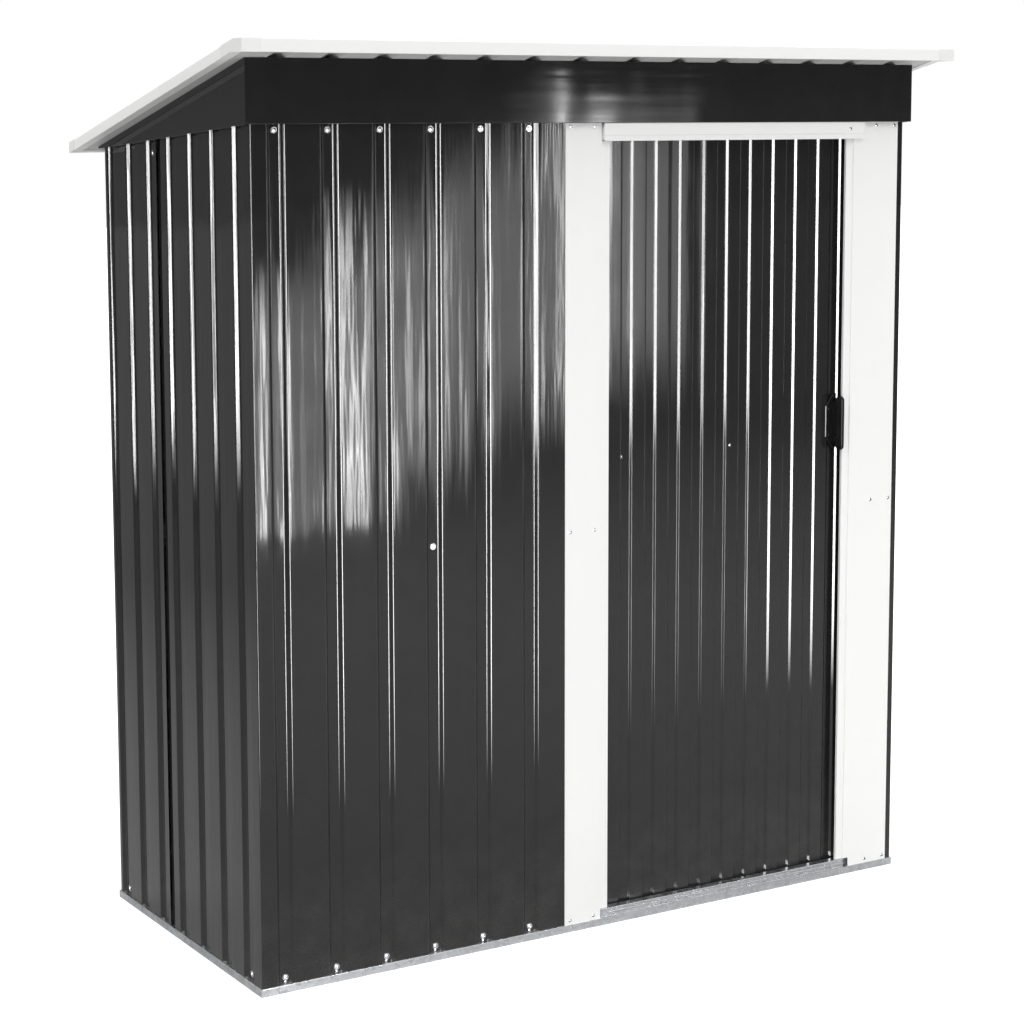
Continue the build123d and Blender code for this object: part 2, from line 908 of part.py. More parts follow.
side_trim_top = trim_low + side_trim_height
cap_knee_low = roof_front + (front_trim_drop + trim_low) / roof_fall
cap_knee_high = roof_front + (side_trim_top - trim_over_ribs) / roof_fall
cap_rear_y = roof_front + front_cap_leg
cap_start_y = roof_rear - rear_cap_leg
with BuildPart() as roof_caps:
    for face_x in (roof_left - cap_proud, roof_right):
        with BuildSketch(depth_plane(face_x)):
            Polygon(
                (roof_front, front_trim_low),
                (cap_knee_low, front_trim_low),
                (cap_rear_y, trim_line(trim_low, cap_rear_y)),
                (cap_rear_y, trim_line(side_trim_top, cap_rear_y)),
                (cap_knee_high, front_trim_top),
                (roof_front, front_trim_top),
                align=None,
            )
            Polygon(
                (cap_start_y, trim_line(trim_low, cap_start_y)),
                (roof_rear, rear_trim_low),
                (roof_rear, trim_line(side_trim_top, roof_rear)),
                (cap_start_y, trim_line(side_trim_top, cap_start_y)),
                align=None,
            )
        extrude(amount=cap_proud)
    for edge_x, toward in ((roof_left - cap_proud, 1), (roof_right + cap_proud, -1)):
        leg_middle = edge_x + toward * (cap_face_leg + cap_proud) / 2
        with BuildSketch(face_plane(roof_front)):
            with Locations((leg_middle, (front_trim_low + front_trim_top) / 2)):
                Rectangle(cap_face_leg + cap_proud, front_trim_top - front_trim_low)
        extrude(amount=cap_proud)
        with BuildSketch(face_plane(roof_rear + cap_proud)):
            with Locations((leg_middle, (rear_trim_low + rear_trim_top) / 2)):
                Rectangle(cap_face_leg + cap_proud, rear_trim_top - rear_trim_low)
        extrude(amount=cap_proud)
save(roof_caps, "roof_caps")
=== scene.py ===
"""Looks of the metal storage shed: finishes, fixings, floor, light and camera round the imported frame."""

import json
import logging
import math
from dataclasses import dataclass
from enum import Enum
from typing import Any, Iterable, Optional, Sequence

import bmesh
import bpy
import numpy as np
from mathutils import Matrix, Vector, noise
from mathutils.bvhtree import BVHTree

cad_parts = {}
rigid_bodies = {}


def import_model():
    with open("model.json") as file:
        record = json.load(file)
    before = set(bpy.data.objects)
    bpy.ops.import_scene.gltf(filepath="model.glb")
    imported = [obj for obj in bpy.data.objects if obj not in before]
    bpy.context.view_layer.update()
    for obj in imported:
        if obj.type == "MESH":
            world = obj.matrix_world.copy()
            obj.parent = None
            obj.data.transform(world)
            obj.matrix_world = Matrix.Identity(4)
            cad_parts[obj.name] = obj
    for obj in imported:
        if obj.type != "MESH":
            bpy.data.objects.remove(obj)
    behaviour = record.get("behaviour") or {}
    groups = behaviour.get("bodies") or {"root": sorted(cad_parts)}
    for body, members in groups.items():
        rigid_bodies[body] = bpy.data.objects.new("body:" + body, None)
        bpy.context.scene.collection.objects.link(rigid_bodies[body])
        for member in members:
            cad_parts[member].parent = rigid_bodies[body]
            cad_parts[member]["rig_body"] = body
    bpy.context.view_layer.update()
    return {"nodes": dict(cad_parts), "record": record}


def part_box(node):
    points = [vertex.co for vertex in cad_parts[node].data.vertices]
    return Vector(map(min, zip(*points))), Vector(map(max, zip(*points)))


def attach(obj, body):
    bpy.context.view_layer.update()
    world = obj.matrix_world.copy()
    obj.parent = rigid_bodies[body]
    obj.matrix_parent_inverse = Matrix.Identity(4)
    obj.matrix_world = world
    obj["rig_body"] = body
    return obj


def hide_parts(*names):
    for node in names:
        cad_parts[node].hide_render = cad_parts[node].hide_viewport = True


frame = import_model()

MM = 0.001
WALL_X = 0.798
BOARD_STEP = 2.3 * MM
SLOTS = {part["node"]: part["material_slot"] for part in frame["record"]["subparts"]}
log = logging.getLogger("shed")


# ---- node trees


class Tree:
    """Adds and joins the nodes of one tree, shader or geometry."""

    def __init__(self, tree: bpy.types.NodeTree) -> None:
        """Starts from an empty tree.

        Args:
            tree: the node tree that is filled.
        """
        self.tree = tree
        tree.nodes.clear()

    def add(self, kind: str, inputs: Optional[dict[Any, Any]] = None, **settings: Any) -> bpy.types.Node:
        """Adds a node.

        Args:
            kind: Blender's name for the node.
            inputs: values or sockets by the input's name or place.
            settings: properties of the node itself.

        Returns:
            The new node.
        """
        node = self.tree.nodes.new(kind)
        for name, value in settings.items():
            setattr(node, name, value)
        for key, value in (inputs or {}).items():
            if isinstance(value, bpy.types.NodeSocket):
                self.tree.links.new(value, node.inputs[key])
            else:
                node.inputs[key].default_value = value
        return node

    def math(self, operation: str, first: Any, second: Any = 0.0, clamp: bool = False) -> Any:
        """Adds a Math node, in either kind of tree, and returns its output."""
        return self.add("ShaderNodeMath", {0: first, 1: second}, operation=operation, use_clamp=clamp).outputs[0]

    def mix(self, share: Any, first: Any, second: Any) -> Any:
        """Adds a Mix node for colours, given as sockets or as three numbers, and returns its output."""
        pair = [(*c, 1.0) if isinstance(c, tuple) else c for c in (first, second)]
        return self.add(
            "ShaderNodeMix", {"Factor": share, 6: pair[0], 7: pair[1]}, data_type="RGBA"
        ).outputs[2]

    def noise(self, place: Any, scale: float, detail: float) -> Any:
        """Adds a Noise Texture and returns its value."""
        return self.add("ShaderNodeTexNoise", {"Vector": place, "Scale": scale, "Detail": detail}).outputs["Fac"]

    def group(self, tree: bpy.types.NodeTree, inputs: dict[str, Any]) -> Any:
        """Adds a shared effect and returns its output."""
        return self.add("ShaderNodeGroup", inputs, node_tree=tree).outputs[0]

    def vector(self, x: Any = 0.0, y: Any = 0.0, z: Any = 0.0) -> Any:
        """Joins three numbers into a vector and returns the output."""
        return self.add("ShaderNodeCombineXYZ", {"X": x, "Y": y, "Z": z}).outputs[0]

    def bump(self, height: Any) -> Any:
        """Adds a Bump node for a height in metres and returns its normal."""
        return self.add("ShaderNodeBump", {"Height": height, "Strength": 1.0, "Distance": 1.0}).outputs["Normal"]

    def spread(self, value: Any, low: float, high: float, to_low: float, to_high: float) -> Any:
        """Maps a value from one range to another, held at both ends, and returns the output."""
        return self.add(
            "ShaderNodeMapRange",
            {"Value": value, "From Min": low, "From Max": high, "To Min": to_low, "To Max": to_high},
        ).outputs["Result"]


@dataclass(frozen=True)
class Socket:
    """One named input or output of a node group."""

    name: str
    kind: str
    value: Any = None


def new_object(name: str, data: Any) -> bpy.types.Object:
    """Makes an object at the origin and links it to the scene."""
    made = bpy.data.objects.new(name, data)
    bpy.context.scene.collection.objects.link(made)
    return made


def open_group(name: str, kind: str, inputs: Iterable[Socket], outputs: Iterable[Socket]) -> Tree:
    """Makes a node group with named sockets.

    Args:
        name: the group's name.
        kind: ShaderNodeTree or GeometryNodeTree.
        inputs: its input sockets.
        outputs: its output sockets.

    Returns:
        The group's tree, empty.
    """
    group = bpy.data.node_groups.new(name, kind)
    for side, sockets in (("INPUT", inputs), ("OUTPUT", outputs)):
        for s in sockets:
            made = group.interface.new_socket(s.name, in_out=side, socket_type=f"NodeSocket{s.kind}")
            if s.value is not None:
                made.default_value = s.value
    return Tree(group)


class SheetEffects:
    """The shader groups that more than one finish uses."""

    def __init__(self) -> None:
        """Builds each group once."""
        self.ripple = self._ripple()
        self.peel = self._peel()
        self.dust = self._dust()

    @staticmethod
    def _ripple() -> bpy.types.NodeTree:
        """Long shallow waves that rolling leaves in sheet steel, as a height in metres."""
        t = open_group(
            "rolled_ripple",
            "ShaderNodeTree",
            [
                Socket("Vector", "Vector"),
                Socket("Stretch", "Vector", (30.0, 30.0, 2.0)),
                Socket("Depth", "Float", 0.0003),
                Socket("Detail", "Float", 2.0),
            ],
            [Socket("Height", "Float")],
        )
        given = t.add("NodeGroupInput").outputs
        stretched = t.add("ShaderNodeVectorMath", {0: given["Vector"], 1: given["Stretch"]}, operation="MULTIPLY")
        noise = t.add(
            "ShaderNodeTexNoise",
            {"Vector": stretched.outputs[0], "Scale": 1.0, "Detail": given["Detail"], "Roughness": 0.45},
        )
        height = t.math("MULTIPLY", t.math("SUBTRACT", noise.outputs["Fac"], 0.5), given["Depth"])
        t.add("NodeGroupOutput", {"Height": height})
        return t.tree

    @staticmethod
    def _peel() -> bpy.types.NodeTree:
        """The fine orange peel of sprayed or rolled paint, as a height in metres."""
        t = open_group(
            "paint_peel",
            "ShaderNodeTree",
            [Socket("Vector", "Vector"), Socket("Scale", "Float", 350.0), Socket("Depth", "Float", 0.000004)],
            [Socket("Height", "Float")],
        )
        given = t.add("NodeGroupInput").outputs
        noise = t.add("ShaderNodeTexNoise", {"Vector": given["Vector"], "Scale": given["Scale"], "Detail": 2.0})
        t.add("NodeGroupOutput", {"Height": t.math("MULTIPLY", noise.outputs["Fac"], given["Depth"])})
        return t.tree

    @staticmethod
    def _dust() -> bpy.types.NodeTree:
        """A mask of fine dust, patchy, and thicker low down."""
        t = open_group(
            "settled_dust",
            "ShaderNodeTree",
            [Socket("Vector", "Vector"), Socket("Reach", "Float", 0.25), Socket("Amount", "Float", 0.2)],
            [Socket("Mask", "Float")],
        )
        given = t.add("NodeGroupInput").outputs
        height = t.add("ShaderNodeSeparateXYZ", {0: given["Vector"]}).outputs["Z"]
        low = t.math("SUBTRACT", 1.0, t.math("DIVIDE", height, given["Reach"]), clamp=True)
        patch = t.add("ShaderNodeTexNoise", {"Vector": given["Vector"], "Scale": 22.0, "Detail": 5.0})
        speck = t.add("ShaderNodeTexNoise", {"Vector": given["Vector"], "Scale": 420.0, "Detail": 1.0})
        cover = t.math("MULTIPLY", patch.outputs["Fac"], t.math("ADD", t.math("MULTIPLY", low, 1.4), 0.25))
        grain = t.spread(speck.outputs["Fac"], 0.35, 0.7, 0.3, 1.0)
        mask = t.math("MULTIPLY", t.math("MULTIPLY", cover, grain), given["Amount"], clamp=True)
        t.add("NodeGroupOutput", {"Mask": mask})
        return t.tree


# ---- finishes


class Run(Enum):
    """Which way a sheet was rolled, as how fast its ripple changes along x, y and z."""

    UPRIGHT = (38.0, 38.0, 2.4)
    DOWN_ROOF = (34.0, 1.7, 34.0)
    ALONG_X = (1.6, 30.0, 30.0)
    ALONG_Y = (30.0, 1.6, 30.0)


def open_material(name: str) -> tuple[bpy.types.Material, Tree, Any]:
    """Makes an empty material.

    Args:
        name: the material's name.

    Returns:
        The material, its tree, and the Object coordinates.
    """
    material = bpy.data.materials.new(name)
    material.use_nodes = True
    tree = Tree(material.node_tree)
    return material, tree, tree.add("ShaderNodeTexCoord").outputs["Object"]


def close_material(tree: Tree, inputs: dict[str, Any]) -> None:
    """Adds the surface shader and the output."""
    shader = tree.add("ShaderNodeBsdfPrincipled", inputs)
    tree.add("ShaderNodeOutputMaterial", {"Surface": shader.outputs[0]})


@dataclass(frozen=True)
class Paint:
    """Baked paint on sheet steel."""

    name: str
    colour: tuple[float, float, float]
    other_colour: tuple[float, float, float]
    run: Run
    gloss: tuple[float, float] = (0.035, 0.075)
    ripple_depth: float = 0.00035
    peel_depth: float = 0.000004
    dust: float = 0.12
    ior: float = 1.4
    specular: float = 0.5
    dust_colour: tuple[float, float, float] = (0.34, 0.33, 0.31)
    dust_dulling: float = 0.5

    def make(self, effects: SheetEffects) -> bpy.types.Material:
        """Builds the material.

        Args:
            effects: the shared shader groups.

        Returns:
            The material.
        """
        material, t, place = open_material(self.name)
        dust = t.group(effects.dust, {"Vector": place, "Amount": self.dust})
        tone = t.mix(t.noise(place, 3.5, 3.0), self.colour, self.other_colour)
        smear = t.spread(t.noise(place, 9.0, 4.0), 0.3, 0.7, *self.gloss)
        ripple = t.group(effects.ripple, {"Vector": place, "Stretch": self.run.value, "Depth": self.ripple_depth})
        peel = t.group(effects.peel, {"Vector": place, "Depth": self.peel_depth})
        close_material(
            t,
            {
                "Base Color": t.mix(dust, tone, self.dust_colour),
                "Roughness": t.math("ADD", smear, t.math("MULTIPLY", dust, self.dust_dulling)),
                "IOR": self.ior,
                "Specular IOR Level": self.specular,
                "Normal": t.bump(t.math("ADD", ripple, peel)),
            },
        )
        return material


@dataclass(frozen=True)
class Zinc:
    """Bright zinc on steel, dipped or plated, with its crystals."""

    name: str
    colour: tuple[float, float, float] = (0.54, 0.55, 0.56)
    dull_colour: tuple[float, float, float] = (0.30, 0.31, 0.32)
    crystal: float = 90.0
    gloss: tuple[float, float] = (0.22, 0.42)
    crystal_share: float = 0.55

    def make(self, effects: SheetEffects) -> bpy.types.Material:
        """Builds the material.

        Args:
            effects: the shared shader groups.

        Returns:
            The material.
        """
        material, t, place = open_material(self.name)
        cells = t.add("ShaderNodeTexVoronoi", {"Vector": place, "Scale": self.crystal}, feature="F1")
        shade = t.add("ShaderNodeSeparateXYZ", {0: cells.outputs["Color"]}).outputs["X"]
        stain = t.noise(place, 14.0, 5.0)
        share = self.crystal_share
        mixed = t.math("ADD", t.math("MULTIPLY", shade, share), t.math("MULTIPLY", stain, 1.0 - share))
        close_material(
            t,
            {
                "Base Color": t.mix(mixed, self.colour, self.dull_colour),
                "Metallic": 1.0,
                "Roughness": t.spread(mixed, 0.2, 0.8, *self.gloss),
                "Normal": t.bump(t.group(effects.peel, {"Vector": place})),
            },
        )
        return material


@dataclass(frozen=True)
class Moulded:
    """Moulded plastic or rubber with a fine grain."""

    name: str
    colour: tuple[float, float, float]
    other_colour: tuple[float, float, float]
    gloss: tuple[float, float] = (0.28, 0.42)
    grain: float = 900.0
    grain_depth: float = 0.00002
    specular: float = 0.5

    def make(self, effects: SheetEffects) -> bpy.types.Material:
        """Builds the material.

        Args:
            effects: the shared shader groups.

        Returns:
            The material.
        """
        material, t, place = open_material(self.name)
        cloud = t.noise(place, 30.0, 4.0)
        grain = t.group(effects.peel, {"Vector": place, "Scale": self.grain, "Depth": self.grain_depth})
        close_material(
            t,
            {
                "Base Color": t.mix(cloud, self.colour, self.other_colour),
                "Roughness": t.spread(cloud, 0.3, 0.7, *self.gloss),
                "Specular IOR Level": self.specular,
                "Normal": t.bump(grain),
            },
        )
        return material


ANTHRACITE = ((0.008, 0.008, 0.0085), (0.011, 0.011, 0.0115))
WHITE = ((0.85, 0.85, 0.84), (0.82, 0.82, 0.815))
SATIN = (0.25, 0.38)


class Finish(Enum):
    """Every finish on the shed."""

    WALL = Paint("anthracite_wall", *ANTHRACITE, Run.UPRIGHT)
    DOOR = Paint("anthracite_door", *ANTHRACITE, Run.UPRIGHT, ripple_depth=0.00012)
    ROOF = Paint("anthracite_roof", *ANTHRACITE, Run.DOWN_ROOF)
    FASCIA_FRONT = Paint("anthracite_front_fascia", *ANTHRACITE, Run.ALONG_X, ripple_depth=0.0002)
    FASCIA_SIDE = Paint("anthracite_side_fascia", *ANTHRACITE, Run.ALONG_Y, ripple_depth=0.0002)
    WHITE_UPRIGHT = Paint("white_upright", *WHITE, Run.UPRIGHT, SATIN, 0.00015, dust=0.05, specular=0.1)
    WHITE_X = Paint("white_along_front", *WHITE, Run.ALONG_X, SATIN, 0.0001, dust=0.05, specular=0.1)
    WHITE_Y = Paint("white_along_side", *WHITE, Run.ALONG_Y, SATIN, 0.0001, dust=0.05, specular=0.1)
    DIPPED = Zinc("zinc_dipped")
    PLATED = Zinc("zinc_plated", (0.62, 0.62, 0.63), (0.50, 0.50, 0.52), 400.0, (0.12, 0.22))
    # zinc for the small screws, darkened: a painted dark reflection that stands in for the dark surroundings real
    # zinc screws reflect
    PAINTED_DARK_SCREW_ZINC = Zinc("small_screw_zinc_painted_dark", (0.34, 0.34, 0.35), (0.24, 0.24, 0.25), 400.0, (0.15, 0.25))
    CAP = Moulded("white_cap", (0.80, 0.80, 0.79), (0.77, 0.77, 0.76), (0.35, 0.5), specular=0.1)
    HANDLE = Moulded("black_handle", (0.004, 0.004, 0.004), (0.008, 0.008, 0.008), (0.16, 0.26), specular=0.14)
    ROLLER = Moulded("roller_nylon", (0.42, 0.42, 0.40), (0.36, 0.36, 0.35))
    BACKING = Paint(
        "pale_backing_coat", (0.52, 0.52, 0.51), (0.47, 0.47, 0.465), Run.UPRIGHT, (0.35, 0.5), 0.0001, dust=0.1
    )
    RUBBER = Moulded("washer_rubber", (0.02, 0.02, 0.02), (0.03, 0.03, 0.03), (0.5, 0.7))


class Finishes:
    """Keeps each finish's material, made when it is first used."""

    def __init__(self) -> None:
        """Makes the shared shader groups."""
        self.effects = SheetEffects()
        self.made: dict[Finish, bpy.types.Material] = {}

    def get(self, finish: Finish) -> bpy.types.Material:
        """Returns a finish's material."""
        if finish not in self.made:
            self.made[finish] = finish.value.make(self.effects)
        return self.made[finish]

    def dress(self, names: Iterable[str], finish: Finish) -> None:
        """Gives CAD nodes a finish.

        Args:
            names: the nodes.
            finish: the finish they get.
        """
        for name in names:
            node = frame["nodes"][name]
            node.data.materials.clear()
            node.data.materials.append(self.get(finish))
            log.info("%s: %s", name, finish.value.name)


# ---- formed sheets


class Facing(Enum):
    """Which way the painted face of a sheet looks."""

    WALL = "away from the nearest wall's inside"
    DOOR = "to the front"
    ROOF = "up"
    FRONT_FASCIA = "to the front, and away from the board's middle line"
    SIDE_FASCIA = "to the side, and away from the board's middle line"

    def outwards(self, places: np.ndarray) -> np.ndarray:
        """Returns the outward direction at each place.

        Args:
            places: the middles of the faces, in metres.

        Returns:
            One direction for each place.
        """
        ways = np.zeros_like(places)
        x, y, z = places.T
        if self is Facing.WALL:
            front_y, rear_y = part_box("front_sheet")[0].y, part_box("rear_sheet_middle")[1].y
            to_side = np.abs(np.abs(x) - WALL_X) < np.minimum(np.abs(y - front_y), np.abs(y - rear_y))
            ways[:, 0] = np.where(to_side, np.sign(x), 0.0)
            ways[:, 1] = np.where(to_side, 0.0, np.where(y < 0.0, -1.0, 1.0))
        elif self is Facing.DOOR:
            ways[:, 1] = -1.0
        elif self is Facing.ROOF:
            ways[:, 2] = 1.0
        else:
            low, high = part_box("fascia_front")
            middle = (low.z + high.z) / 2
            if self is Facing.FRONT_FASCIA:
                ways[:, 1] = -1.0
            else:
                ways[:, 0] = np.sign(x)
                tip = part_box("fascia_left")
                middle = middle - (y - tip[0].y) / (tip[1].y - tip[0].y) * (middle - tip[0].z - BOARD_STEP)
            ways[:, 2] = np.where(z < middle, -1.0, 1.0)
        return ways


@dataclass(frozen=True)
class Hold:
    """A line along which a sheet is fixed or stiff, so that it lies still."""

    axis: int
    place: float
    half: float = 0.04
    fade: float = 0.22

    def freedom(self, point: Vector) -> float:
        """Returns how free the sheet is at a point, from 0 to 1."""
        return min(1.0, max(0.0, (abs(point[self.axis] - self.place) - self.half) / self.fade))


@dataclass
class FormedSheet:
    """A CAD sheet made again with rounded bends and the slight waves of thin rolled steel."""

    node: str
    finish: Finish
    facing: Optional[Facing] = None
    bend: float = 1.1 * MM
    corner: float = 0.0
    wave: float = 0.0
    run: tuple[float, float, float] = (0.0, 0.0, 1.0)
    across: tuple[float, float, float] = (1.0, 0.0, 0.0)
    push: tuple[float, float, float] = (0.0, -1.0, 0.0)
    holds: tuple[Hold, ...] = ()
    station: float = 0.05
    strip: float = 0.017
    merge: float = 0.005 * MM
    cut_width: float = 1.3 * MM
    bend_steps: int = 3
    shortest_bend: float = 0.1
    least_bend: float = math.radians(8.0)
    flat: float = math.radians(0.4)
    square: float = math.radians(60.0)
    upright_share: float = 0.999
    broad_scale: tuple[float, float] = (9.0, 1.1)
    fine_scale: tuple[float, float] = (21.0, 2.2)
    broad_share: float = 0.65

    def build(self, finishes: Finishes) -> bpy.types.Object:
        """Builds the sheet in place of its CAD node.

        Args:
            finishes: the materials.

        Returns:
            The new piece.
        """
        source = frame["nodes"][self.node]
        bm = bmesh.new()
        bm.from_mesh(source.data)
        bmesh.ops.remove_doubles(bm, verts=bm.verts[:], dist=self.merge)
        bmesh.ops.dissolve_limit(bm, angle_limit=self.flat, verts=bm.verts[:], edges=bm.edges[:])
        for face in bm.faces:
            width = 2.0 * face.calc_area() / face.calc_perimeter()
            face.material_index = int(width < self.cut_width)
        self._round_bends(bm)
        if self.wave:
            self._cut(bm)
            self._ruffle(bm)
        mesh = bpy.data.meshes.new(f"{self.node}_formed")
        bm.to_mesh(mesh)
        bm.free()
        mesh.materials.append(finishes.get(self.finish))
        mesh.materials.append(finishes.get(Finish.BACKING if self.facing else self.finish))
        self._shade(mesh)
        piece = new_object(f"{self.node}_formed", mesh)
        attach(piece, source["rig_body"])
        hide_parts(self.node)
        log.info("%s: %s, %d faces", piece.name, self.finish.value.name, len(mesh.polygons))
        return piece

    def _round_bends(self, bm: bmesh.types.BMesh) -> None:
        """Rounds the bends, but not the cut edges.

        Args:
            bm: the sheet, whose cut faces have material index 1.
        """
        if self.corner:
            low = min(v.co.z for v in bm.verts)
            ends = [
                e for e in bm.edges
                if abs((e.verts[0].co - e.verts[1].co).normalized().y) > self.upright_share
                and e.verts[0].co.z < low + self.cut_width
                and len(e.link_faces) == 2
                and e.calc_face_angle(0.0) > self.square
            ]
            bmesh.ops.bevel(
                bm, geom=ends, offset=self.corner, segments=self.bend_steps + 2, profile=0.5, affect="EDGES"
            )
        bends = [
            e for e in bm.edges
            if len(e.link_faces) == 2
            and not any(f.material_index for f in e.link_faces)
            and e.calc_length() > self.shortest_bend
            and e.calc_face_angle(0.0) > self.least_bend
        ]
        bmesh.ops.bevel(
            bm, geom=bends, offset=self.bend, segments=self.bend_steps,
            profile=0.5, affect="EDGES", clamp_overlap=True,
        )

    def _cut(self, bm: bmesh.types.BMesh) -> None:
        """Divides the sheet along and across its run, so that it can wave.

        Args:
            bm: the sheet.
        """
        for way, step in ((Vector(self.run), self.station), (Vector(self.across), self.strip)):
            reach = [way.dot(v.co) for v in bm.verts]
            low, high = min(reach), max(reach)
            count = int((high - low) / step)
            for number in range(1, count + 1):
                place = low + (high - low) * number / (count + 1)
                whole = bm.verts[:] + bm.edges[:] + bm.faces[:]
                bmesh.ops.bisect_plane(bm, geom=whole, dist=1e-6, plane_co=way * place, plane_no=way)

    def _ruffle(self, bm: bmesh.types.BMesh) -> None:
        """Moves the sheet in and out in long shallow waves; both faces of it, and lapped sheets, move alike.

        Args:
            bm: the divided sheet.
        """
        run, across, push = Vector(self.run), Vector(self.across), Vector(self.push)
        seed = 3.0 * push.x + 7.0 * push.y + 11.0 * push.z
        for vert in bm.verts:
            freedom = math.prod(hold.freedom(vert.co) for hold in self.holds)
            if freedom > 0.0:
                u, v = across.dot(vert.co), run.dot(vert.co)
                broad = noise.noise(Vector((u * self.broad_scale[0], v * self.broad_scale[1], seed)))
                fine = noise.noise(Vector((u * self.fine_scale[0], v * self.fine_scale[1], seed + 5.0)))
                shape = self.broad_share * broad + (1.0 - self.broad_share) * fine
                vert.co += push * (self.wave * freedom * shape)

    def _shade(self, mesh: bpy.types.Mesh) -> None:
        """Gives the two faces their finish, smooth bends and flat cut edges.

        Args:
            mesh: the finished shape, whose cut faces have material index 1.
        """
        count, corners = len(mesh.polygons), len(mesh.loops)
        normals, middles, areas = np.empty(count * 3), np.empty(count * 3), np.empty(count)
        totals, cut, vertex = np.empty(count, int), np.empty(count, int), np.empty(corners, int)
        wanted = {
            "normal": normals, "center": middles, "area": areas, "loop_total": totals, "material_index": cut
        }
        for name, store in wanted.items():
            mesh.polygons.foreach_get(name, store)
        mesh.loops.foreach_get("vertex_index", vertex)
        normals, middles = normals.reshape(-1, 3), middles.reshape(-1, 3)
        owner = np.repeat(np.arange(count), totals)
        key = vertex * 2 + cut[owner]
        summed = np.zeros((len(mesh.vertices) * 2, 3))
        np.add.at(summed, key, normals[owner] * areas[owner][:, None])
        smooth = summed[key]
        smooth[cut[owner] == 1] = normals[owner][cut[owner] == 1]
        smooth /= np.maximum(np.linalg.norm(smooth, axis=1), 1e-12)[:, None]
        inner = np.zeros(count, int)
        if self.facing:
            inner = ((normals * self.facing.outwards(middles)).sum(1) < 0.0).astype(int) * (1 - cut)
        mesh.polygons.foreach_set("material_index", inner)
        mesh.polygons.foreach_set("use_smooth", np.ones(count, bool))
        mesh.normals_split_custom_set(smooth.tolist())
        mesh.update()


# ---- sub-assemblies


@dataclass
class Cladding:
    """The wall and roof sheets, waving slightly between the lines where they are fixed."""

    wall_wave: float = 1.1 * MM
    wall_bend: float = 1.9 * MM
    roof_wave: float = 0.4 * MM
    rail_heights: tuple[float, ...] = (0.0165, 0.858)
    eaves: float = 1.69
    side_eaves: float = 1.63
    corner_x: float = WALL_X
    jamb_edge: float = -0.089
    beam_y: float = 0.02
    pitch: float = math.radians(13.4)

    def build(self, finishes: Finishes) -> None:
        """Builds every wall and roof sheet."""
        rails = tuple(Hold(2, z) for z in self.rail_heights)
        low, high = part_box("right_sheet_front")[0].y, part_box("right_sheet_rear")[1].y
        corners_x = tuple(Hold(0, x, 0.02, 0.05) for x in (-self.corner_x, self.corner_x))
        corners_y = tuple(Hold(1, y, 0.02, 0.05) for y in (low, high))
        FormedSheet(
            "front_sheet", Finish.WALL, Facing.WALL, self.wall_bend, wave=self.wall_wave,
            holds=(*rails, Hold(2, self.eaves), *corners_x, Hold(0, self.jamb_edge, 0.012, 0.04)),
        ).build(finishes)
        for side, way in (("left", -1.0), ("right", 1.0)):
            for half in ("front", "rear"):
                FormedSheet(
                    f"{side}_sheet_{half}", Finish.WALL, Facing.WALL, self.wall_bend, wave=self.wall_wave,
                    across=(0.0, 1.0, 0.0), push=(way, 0.0, 0.0),
                    holds=(*rails, Hold(2, self.side_eaves, 0.06), *corners_y),
                ).build(finishes)
        for part in ("left", "middle", "right"):
            FormedSheet(
                f"rear_sheet_{part}", Finish.WALL, Facing.WALL, self.wall_bend,
                wave=self.wall_wave, push=(0.0, 1.0, 0.0),
                holds=(*rails, Hold(2, self.side_eaves), *corners_x),
            ).build(finishes)
        tilt = (0.0, -math.cos(self.pitch), math.sin(self.pitch))
        for side in ("left", "right"):
            FormedSheet(
                f"roof_sheet_{side}", Finish.ROOF, Facing.ROOF, wave=self.roof_wave,
                run=tilt, push=(0.0, math.sin(self.pitch), math.cos(self.pitch)),
                holds=(
                    Hold(1, low, 0.09, 0.08), Hold(1, high, 0.06, 0.08), Hold(1, self.beam_y, 0.035, 0.08),
                    *(Hold(0, x, 0.07, 0.08) for x in (-self.corner_x, self.corner_x)), Hold(0, 0.0, 0.02, 0.05),
                ),
            ).build(finishes)


@dataclass
class Trim:
    """The white and anthracite trim: jambs, header, fascias, roof edges and corner caps."""

    header_corner: float = 6.0 * MM
    jamb_bend: float = 0.5 * MM
    edge_bend: float = 1.0 * MM

    def build(self, finishes: Finishes) -> None:
        """Builds the trim."""
        for side in ("left", "right"):
            FormedSheet(f"jamb_{side}", Finish.WHITE_UPRIGHT, bend=self.jamb_bend).build(finishes)
            FormedSheet(f"roof_trim_{side}", Finish.WHITE_Y, bend=self.edge_bend).build(finishes)
            FormedSheet(f"fascia_{side}", Finish.FASCIA_SIDE, Facing.SIDE_FASCIA, self.edge_bend).build(finishes)
        FormedSheet("header", Finish.WHITE_X, bend=self.jamb_bend, corner=self.header_corner).build(finishes)
        for end in ("front", "rear"):
            FormedSheet(f"roof_trim_{end}", Finish.WHITE_X, bend=self.edge_bend).build(finishes)
        FormedSheet("fascia_front", Finish.FASCIA_FRONT, Facing.FRONT_FASCIA, self.edge_bend).build(finishes)
        finishes.dress(("roof_caps",), Finish.CAP)


@dataclass
class Framework:
    """The zinc-coated rails, sill, track and door frame."""

    bend: float = 0.8 * MM
    formed: tuple[str, ...] = ("base_rail_front", "base_rail_left", "base_rail_rear", "base_rail_right", "sill")
    rails: tuple[str, ...] = (
        "top_rail_front", "top_rail_left", "top_rail_rear", "top_rail_right",
        "mid_rail_front", "mid_rail_rear", "mid_rails_side", "door_track", "door_guide", "roof_beam",
    )
    door: tuple[str, ...] = ("door_rail_top", "door_rail_middle", "door_rail_bottom", "door_stiles", "door_hangers")

    def build(self, finishes: Finishes) -> None:
        """Coats the framework, and rounds the bends of what shows outside."""
        for name in self.formed:
            FormedSheet(name, Finish.DIPPED, bend=self.bend).build(finishes)
        finishes.dress(self.rails + self.door, Finish.DIPPED)


